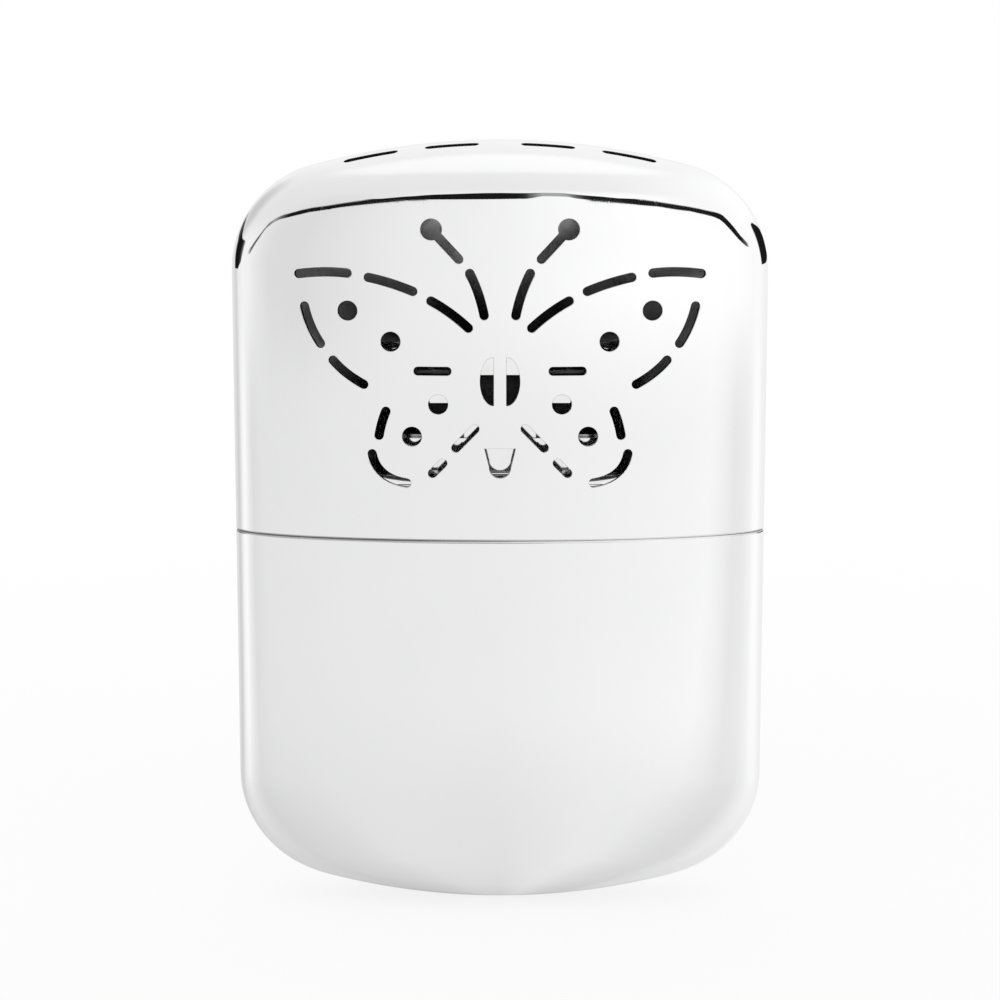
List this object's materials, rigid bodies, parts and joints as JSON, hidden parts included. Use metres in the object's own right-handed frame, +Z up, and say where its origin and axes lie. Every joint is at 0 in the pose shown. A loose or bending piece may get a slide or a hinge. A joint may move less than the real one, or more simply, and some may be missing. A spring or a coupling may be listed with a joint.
{
  "type": "catalytic hand warmer",
  "caption": "Slim oval flameless hand warmer: drawn fuel tank with wadding, lift-off catalytic burner on an oval neck, and a slide-on lid with butterfly vents.",
  "frame": {"origin": "lowest point of the tank's arched bottom, in the middle of the width and the depth", "axes": "+Z up along the height from tank to lid, +X to the right of the front view, -Y out of the front with the butterfly vents"},
  "size_m": [0.069, 0.018, 0.1],
  "materials": {
    "plated_sheet": "polished plate on drawn sheet",
    "burner_plate": "polished, slightly heat tinted",
    "dull_steel": "dull rolled steel",
    "cotton": "loose white wadding",
    "catalyst_fibre": "matted grey glass fibre"
  },
  "bodies": {
    "tank": {"tank_shell": "plated_sheet", "shoulder_cap": "plated_sheet", "neck_ring": "plated_sheet", "cotton_left": "cotton", "cotton_right": "cotton", "cotton_mouth": "cotton"},
    "burner": {"burner_base": "burner_plate", "grip_spring_front": "dull_steel", "grip_spring_rear": "dull_steel", "burner_screen": "dull_steel", "catalyst_mat": "catalyst_fibre", "mat_retainer": "dull_steel", "burner_cover": "burner_plate", "cover_rivet_left": "dull_steel", "cover_rivet_right": "dull_steel"},
    "lid": {"lid_shell": "plated_sheet"}
  },
  "joints": [
    {"name": "lid_lift", "type": "slide", "parent": "tank", "child": "lid", "axis": [0, 0, 1], "range_m": [0, 0.045]},
    {"name": "burner_lift", "type": "slide", "parent": "tank", "child": "burner", "axis": [0, 0, 1], "range_m": [0, 0.009]}
  ]
}
